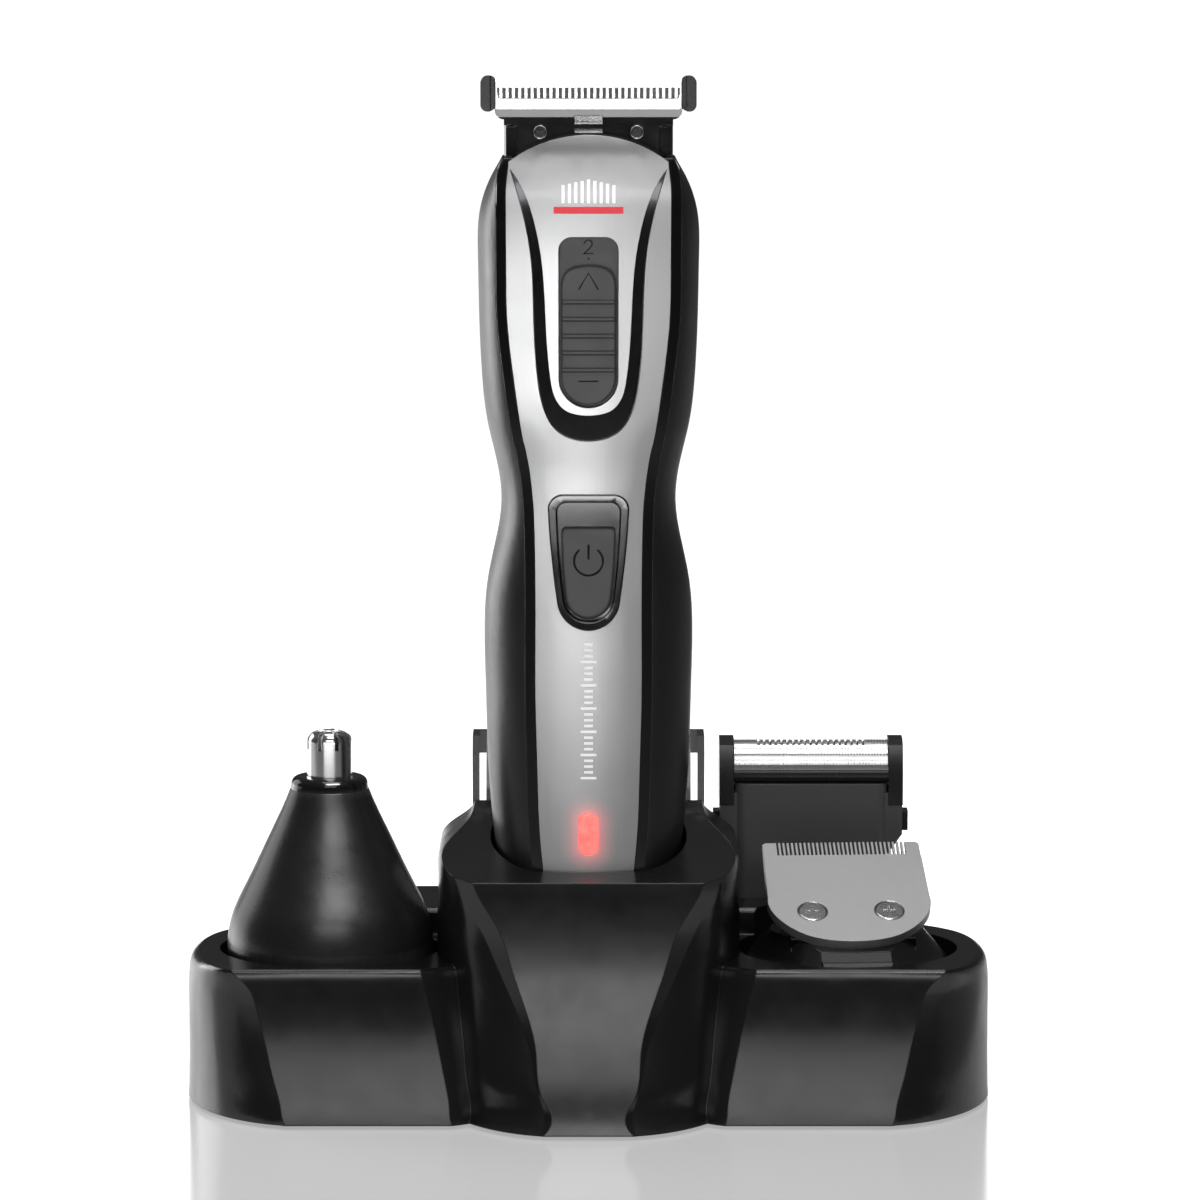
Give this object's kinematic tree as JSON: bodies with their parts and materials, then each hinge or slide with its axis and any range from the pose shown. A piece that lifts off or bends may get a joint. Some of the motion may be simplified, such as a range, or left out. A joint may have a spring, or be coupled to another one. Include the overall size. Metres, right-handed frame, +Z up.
{
  "type": "beard trimmer",
  "caption": "Cordless beard trimmer with a T-blade standing in a three-lobed charging stand, with nose, precision and foil shaver heads and a guide comb.",
  "frame": {"origin": "middle of the whole kit's box, on the surface that the stand's feet rest on", "axes": "+Z up along the trimmer, the front of the trimmer and the stand faces -Y, +X to the right seen from the front (towards the precision head)"},
  "size_m": [0.157, 0.0791, 0.1998],
  "materials": {
    "stand_black": "satin black moulded plastic",
    "head_black": "satin black moulded plastic",
    "gloss_black": "polished black plastic",
    "face_silver": "satin silver metallic paint",
    "grip_rubber": "soft-touch black rubber",
    "dark_grey": "matt dark grey plastic",
    "black_chrome": "black chrome",
    "steel": "brushed stainless steel",
    "polished_steel": "polished stainless steel",
    "brass": "plated brass",
    "red_lens": "red light pipe",
    "board_green": "solder mask",
    "cell_wrap": "shrink wrap",
    "foot_rubber": "matt rubber",
    "smoke_clear": "clear smoke-grey plastic"
  },
  "bodies": {
    "stand": {"stand_housing": "stand_black", "stand_base_plate": "stand_black", "stand_feet": "foot_rubber", "stand_screws": "steel", "stand_contact_pins": "brass", "stand_circuit_board": "board_green", "stand_dc_socket": "gloss_black"},
    "trimmer": {"front_cover": "face_silver", "left_trim": "gloss_black", "right_trim": "gloss_black", "left_grip": "grip_rubber", "right_grip": "grip_rubber", "rear_housing": "grip_rubber", "bottom_cap": "gloss_black", "charge_contacts": "brass", "groove_insert": "black_chrome", "slider_bezel": "dark_grey", "switch_bezel": "gloss_black", "light_lens": "red_lens", "led": "red_lens", "chassis": "dark_grey", "battery_cell": "cell_wrap", "motor_can": "steel", "circuit_board": "board_green", "housing_screws": "steel"},
    "length_slider": {"length_slider": "dark_grey", "comb_carriage": "dark_grey"},
    "power_switch": {"power_button": "dark_grey"},
    "motor_rotor": {"motor_shaft": "polished_steel", "eccentric_cam": "brass"},
    "blade_head": {"head_housing": "gloss_black", "fixed_blade": "steel", "blade_end_guards": "dark_grey", "head_screws": "black_chrome", "blade_spring": "polished_steel"},
    "moving_blade": {"moving_blade": "polished_steel", "drive_yoke": "dark_grey"},
    "nose_head": {"nose_cone": "head_black", "nose_collar": "gloss_black", "nose_guard_tube": "polished_steel"},
    "nose_cutter": {"nose_cutter": "steel", "nose_drive_shaft": "polished_steel"},
    "beard_head": {"beard_head_housing": "head_black", "beard_grip_tab": "dark_grey", "beard_fixed_blade": "steel", "beard_blade_screws": "polished_steel"},
    "beard_moving_blade": {"beard_moving_blade": "steel"},
    "shaver_head": {"shaver_housing": "dark_grey", "shaver_side_arms": "head_black", "foil_frame": "head_black", "shaver_foil": "polished_steel"},
    "shaver_cutter": {"shaver_cutter": "steel"},
    "left_release_button": {"left_release_button": "head_black"},
    "right_release_button": {"right_release_button": "head_black"},
    "guide_comb": {"guide_comb": "smoke_clear"}
  },
  "joints": [
    {"name": "trimmer_lift", "type": "slide", "parent": "stand", "child": "trimmer", "axis": [0, 0, 1], "range_m": [0, 0.06]},
    {"name": "length_slide", "type": "slide", "parent": "trimmer", "child": "length_slider", "axis": [0, 0, 1], "range_m": [0, 0.0052]},
    {"name": "power_slide", "type": "slide", "parent": "trimmer", "child": "power_switch", "axis": [0, 0, 1], "range_m": [0, 0.0044]},
    {"name": "motor_spin", "type": "hinge", "parent": "trimmer", "child": "motor_rotor", "pos_m": [0, -0.00175, 0.1771], "axis": [0, 0, 1], "continuous": true},
    {"name": "blade_head_lift", "type": "slide", "parent": "trimmer", "child": "blade_head", "axis": [0, 0, 1], "range_m": [0, 0.03]},
    {"name": "blade_stroke", "type": "slide", "parent": "blade_head", "child": "moving_blade", "axis": [1, 0, 0], "range_m": [-0.0009, 0.0009]},
    {"name": "nose_head_lift", "type": "slide", "parent": "stand", "child": "nose_head", "axis": [0, 0, 1], "range_m": [0, 0.05]},
    {"name": "nose_cutter_spin", "type": "hinge", "parent": "nose_head", "child": "nose_cutter", "pos_m": [-0.0505, 0.00175, 0.065], "axis": [0, 0, 1], "continuous": true},
    {"name": "beard_head_lift", "type": "slide", "parent": "stand", "child": "beard_head", "axis": [0, 0, 1], "range_m": [0, 0.04]},
    {"name": "beard_blade_stroke", "type": "slide", "parent": "beard_head", "child": "beard_moving_blade", "axis": [0.9976, 0.0698, 0], "range_m": [-0.0009, 0.0009]},
    {"name": "shaver_head_lift", "type": "slide", "parent": "stand", "child": "shaver_head", "axis": [0, 0, 1], "range_m": [0, 0.05]},
    {"name": "shaver_cutter_stroke", "type": "slide", "parent": "shaver_head", "child": "shaver_cutter", "axis": [1, 0, 0], "range_m": [-0.0012, 0.0012]},
    {"name": "left_button_press", "type": "slide", "parent": "shaver_head", "child": "left_release_button", "axis": [1, 0, 0], "range_m": [0, 0.001], "stiffness_N_per_m": 300, "springref_m": -0.001},
    {"name": "right_button_press", "type": "slide", "parent": "shaver_head", "child": "right_release_button", "axis": [-1, 0, 0], "range_m": [0, 0.001], "stiffness_N_per_m": 300, "springref_m": -0.001},
    {"name": "guide_comb_lift", "type": "slide", "parent": "stand", "child": "guide_comb", "axis": [0, 0, 1], "range_m": [0, 0.045]}
  ]
}
